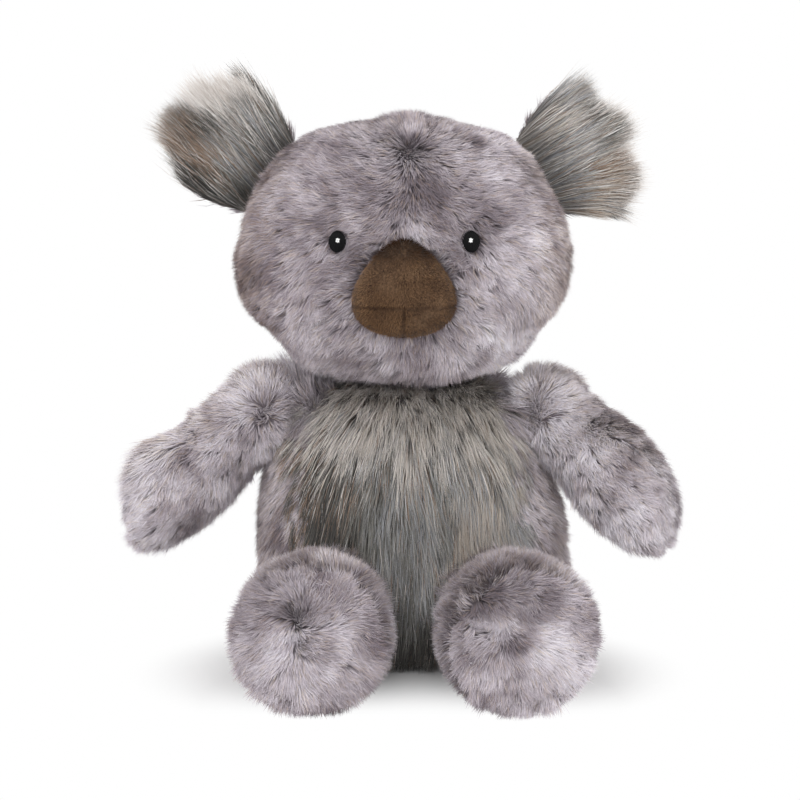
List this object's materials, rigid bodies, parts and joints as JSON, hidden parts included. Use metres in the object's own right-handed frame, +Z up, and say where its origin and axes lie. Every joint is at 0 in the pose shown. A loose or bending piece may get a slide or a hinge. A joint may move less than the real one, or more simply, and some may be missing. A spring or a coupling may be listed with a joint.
{
  "type": "seated plush koala",
  "caption": "Seated plush koala with short mauve-grey pile, long-furred ears and belly, a velour nose and embroidered eyes; head, limbs and ears flex at their seams.",
  "frame": {"origin": "on the flat seat of the body, straight below the neck", "axes": "+Z up, +X to the viewer's right, the face looks along -Y"},
  "size_m": [0.2258, 0.1597, 0.2308],
  "materials": {
    "mauve_pile": "short mauve-grey pile fabric with darker tips and warm patches",
    "long_fur": "long grey-green fur with brown and pale strands",
    "nose_velour": "brown short-nap velour",
    "black_thread": "black embroidery thread in satin stitch",
    "white_thread": "white embroidery thread",
    "stuffing": "white polyester fibre filling",
    "pouch_cotton": "plain cotton bag of pellets"
  },
  "bodies": {
    "body": {"body_back_panel": "mauve_pile", "belly_panel": "long_fur", "body_stuffing": "stuffing", "pellet_pouch": "pouch_cotton"},
    "neck": {"neck_core": "stuffing"},
    "head": {"face_panel": "mauve_pile", "head_back_panel": "mauve_pile", "head_stuffing": "stuffing", "nose_cover": "nose_velour", "nose_stuffing": "stuffing", "left_eye": "black_thread", "right_eye": "black_thread", "left_eye_highlight": "white_thread", "right_eye_highlight": "white_thread"},
    "left_ear": {"left_ear_front": "long_fur", "left_ear_back": "mauve_pile"},
    "right_ear": {"right_ear_front": "long_fur", "right_ear_back": "mauve_pile"},
    "left_arm": {"left_arm_skin": "mauve_pile", "left_arm_stuffing": "stuffing"},
    "right_arm": {"right_arm_skin": "mauve_pile", "right_arm_stuffing": "stuffing"},
    "left_leg": {"left_leg_skin": "mauve_pile", "left_foot_sole": "mauve_pile", "left_leg_stuffing": "stuffing"},
    "right_leg": {"right_leg_skin": "mauve_pile", "right_foot_sole": "mauve_pile", "right_leg_stuffing": "stuffing"}
  },
  "joints": [
    {"name": "neck_turn", "type": "hinge", "parent": "body", "child": "neck", "pos_m": [0, -0.004, 0.115], "axis": [0, 0, 1], "range_deg": [-30, 30], "stiffness_Nm_per_rad": 0.3},
    {"name": "head_nod", "type": "hinge", "parent": "neck", "child": "head", "pos_m": [0, -0.004, 0.115], "axis": [1, 0, 0], "range_deg": [-10, 10], "stiffness_Nm_per_rad": 0.6, "springref_deg": -0.4},
    {"name": "left_arm_raise", "type": "hinge", "parent": "body", "child": "left_arm", "pos_m": [-0.05716, -0.006, 0.098], "axis": [0, 1, 0], "range_deg": [-10, 50], "stiffness_Nm_per_rad": 0.06, "springref_deg": 2.86},
    {"name": "right_arm_raise", "type": "hinge", "parent": "body", "child": "right_arm", "pos_m": [0.05861, -0.006, 0.098], "axis": [0, -1, 0], "range_deg": [-10, 50], "stiffness_Nm_per_rad": 0.06, "springref_deg": 2.86},
    {"name": "left_leg_raise", "type": "hinge", "parent": "body", "child": "left_leg", "pos_m": [-0.02822, -0.0487, 0.028], "axis": [-1, 0, 0], "range_deg": [-15, 40], "stiffness_Nm_per_rad": 0.15},
    {"name": "right_leg_raise", "type": "hinge", "parent": "body", "child": "right_leg", "pos_m": [0.03578, -0.0487, 0.028], "axis": [-1, 0, 0], "range_deg": [-15, 40], "stiffness_Nm_per_rad": 0.15},
    {"name": "left_ear_fold", "type": "hinge", "parent": "head", "child": "left_ear", "pos_m": [-0.05611, 0.005, 0.19421], "axis": [-0.5446, 0, -0.8387], "range_deg": [-40, 30], "stiffness_Nm_per_rad": 0.01},
    {"name": "right_ear_fold", "type": "hinge", "parent": "head", "child": "right_ear", "pos_m": [0.05611, 0.005, 0.19421], "axis": [0.5446, 0, -0.8387], "range_deg": [-30, 40], "stiffness_Nm_per_rad": 0.01}
  ]
}
